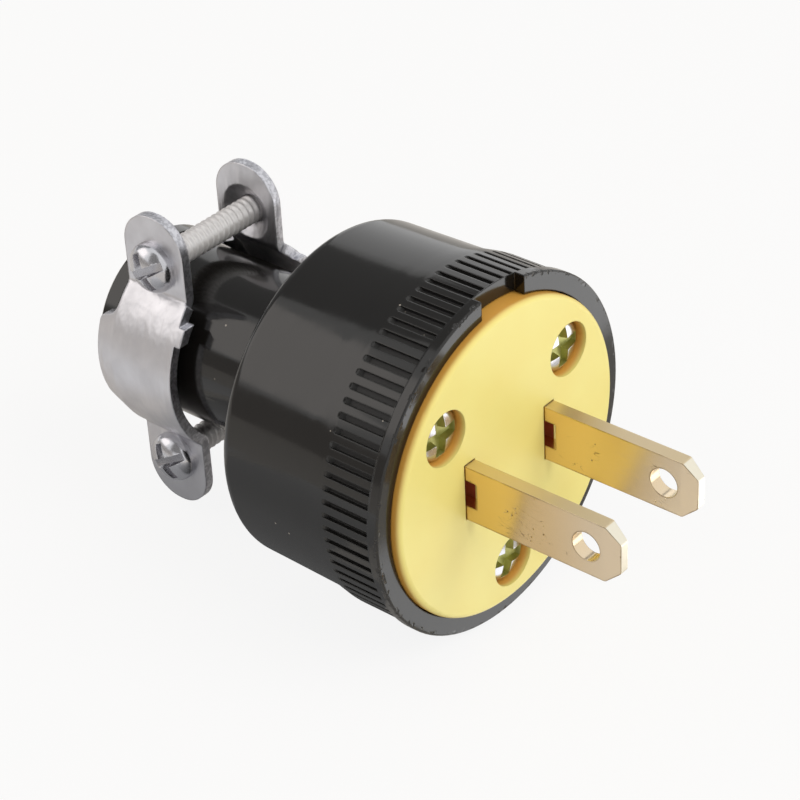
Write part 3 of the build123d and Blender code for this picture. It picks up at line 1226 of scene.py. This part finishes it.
# %% [markdown]
# ### A whole screw
#
# The blank is turned, the bars are cut from it, and the cut edges are rounded. This could be
# modelled face by face, but modifiers keep the order of the workshop. A cut that fails can leave its
# bar standing in the head, so the volume that each recess took out is printed.

# %% Cut and round a screw
THREAD_START = 0.05
EDGE_ROUNDING = 0.06
ROUNDED_ABOVE = math.radians(40)
SHARP_ABOVE = math.radians(35)


def solid_volume(mesh):
    """Volume that a closed mesh holds."""
    build = bmesh.new()
    build.from_mesh(mesh)
    volume = build.calc_volume()
    build.free()
    return volume


def make_screw(name, head, shank, slot, cross, recess):
    """A screw along +Y in millimetres, seated at y = 0, then scaled to metres."""
    screw = linked(name, turned_mesh(screw_rings(*head, *shank)))
    whole = solid_volume(screw.data)
    for finish in (bright_head, recess, satin_thread):
        screw.data.materials.append(finish)
    for face in screw.data.polygons:
        face.material_index = 2 if face.center.y > THREAD_START else 0
    cutters = make_cutters(-head[1], slot, cross, recess)
    for cutter in cutters:
        cut = screw.modifiers.new("cut", "BOOLEAN")
        cut.object = cutter
        cut.operation = "DIFFERENCE"
        cut.solver = "EXACT"
        cut.material_mode = "INDEX"
    soften = screw.modifiers.new("soften", "BEVEL")
    soften.width = EDGE_ROUNDING
    soften.segments = 2
    soften.limit_method = "ANGLE"
    soften.angle_limit = ROUNDED_ABOVE
    bpy.context.view_layer.update()
    graph = bpy.context.evaluated_depsgraph_get()
    mesh = bpy.data.meshes.new_from_object(screw.evaluated_get(graph))
    screw.modifiers.clear()
    screw.data = mesh
    for cutter in cutters:
        bpy.data.objects.remove(cutter)
    print(name, "recess in cubic mm:", round(whole - solid_volume(mesh), 2))
    mesh.transform(Matrix.Scale(MM, 4))
    mesh.polygons.foreach_set("use_smooth", [True] * len(mesh.polygons))
    mesh.set_sharp_from_angle(angle=SHARP_ABOVE)
    return screw


print("cut edges rounded by mm:", EDGE_ROUNDING)

# %% [markdown]
# ### Face screws
#
# Three pan-head screws sit in the recesses of the face. Each stands where its solid does and takes
# the solid's place in the picture. A head is a radius, a height and the height of its straight rim,
# a shank is a radius and a length, and a bar of the recess is a length, a width and a depth.

# %% Make the face screws
FACE_HEAD = (2.7, 1.75, 1.15)
FACE_SHANK = (1.6, 13.9)
FACE_SLOT = (5.1, 1.5, 0.9)
FACE_CROSS = (4.7, 1.5, 0.9)
FACE_SCREW_SEAT = 2.3
FACE_SCREW_TURNS = {"upper_left": 0, "upper_right": -3, "lower": 12}
for place_name, turn in FACE_SCREW_TURNS.items():
    node = "face_screw_" + place_name
    low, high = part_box(node)
    screw = make_screw(
        node + "_detailed", FACE_HEAD, FACE_SHANK, FACE_SLOT, FACE_CROSS, olive_recess
    )
    centre = (low + high) / 2
    seat = Vector((centre.x, FACE_SCREW_SEAT * MM, centre.z))
    screw.data.transform(Matrix.Translation(seat) @ Matrix.Rotation(math.radians(turn), 4, "Y"))
    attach(screw, "root")
    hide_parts(node)
    print(screw.name, "faces:", len(screw.data.polygons))

# %% [markdown]
# ### Clamp screws
#
# Two longer screws run from the near clamp half, where their heads are, into the tapped half. Their
# length comes from the box of the solid, so they end where it does.

# %% Make the clamp screws
CLAMP_HEAD = (2.8, 2.2, 0.5)
CLAMP_SHANK_RADIUS = 1.55
CLAMP_SLOT = (6.4, 1.2, 1.0)
CLAMP_CROSS = (4.6, 1.2, 1.0)
CLAMP_SCREW_TURN = math.radians(-30.0)
head_height = CLAMP_HEAD[1]
lay = Matrix.Rotation(-math.pi / 2, 4, "Z") @ Matrix.Rotation(CLAMP_SCREW_TURN, 4, "Y")
for place_name in ("upper", "lower"):
    node = "clamp_screw_" + place_name
    low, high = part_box(node)
    shank = (CLAMP_SHANK_RADIUS, (high.x - low.x) / MM - head_height)
    screw = make_screw(node + "_threaded", CLAMP_HEAD, shank, CLAMP_SLOT, CLAMP_CROSS, grey_recess)
    seat = Vector((low.x + head_height * MM, (low.y + high.y) / 2, (low.z + high.z) / 2))
    screw.data.transform(Matrix.Translation(seat) @ lay)
    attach(screw, "root")
    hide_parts(node)
    print(screw.name, "shank in mm:", round(shank[1], 2))

# %% [markdown]
# ## Measure and finish
#
# The dressed plug must stay as large as its solids, so its box is printed here, beside the box of
# the solids that was printed at the start.

# %% Print the dressed size
low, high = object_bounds()
print("dressed size in mm:", [round(x / MM, 2) for x in high - low])
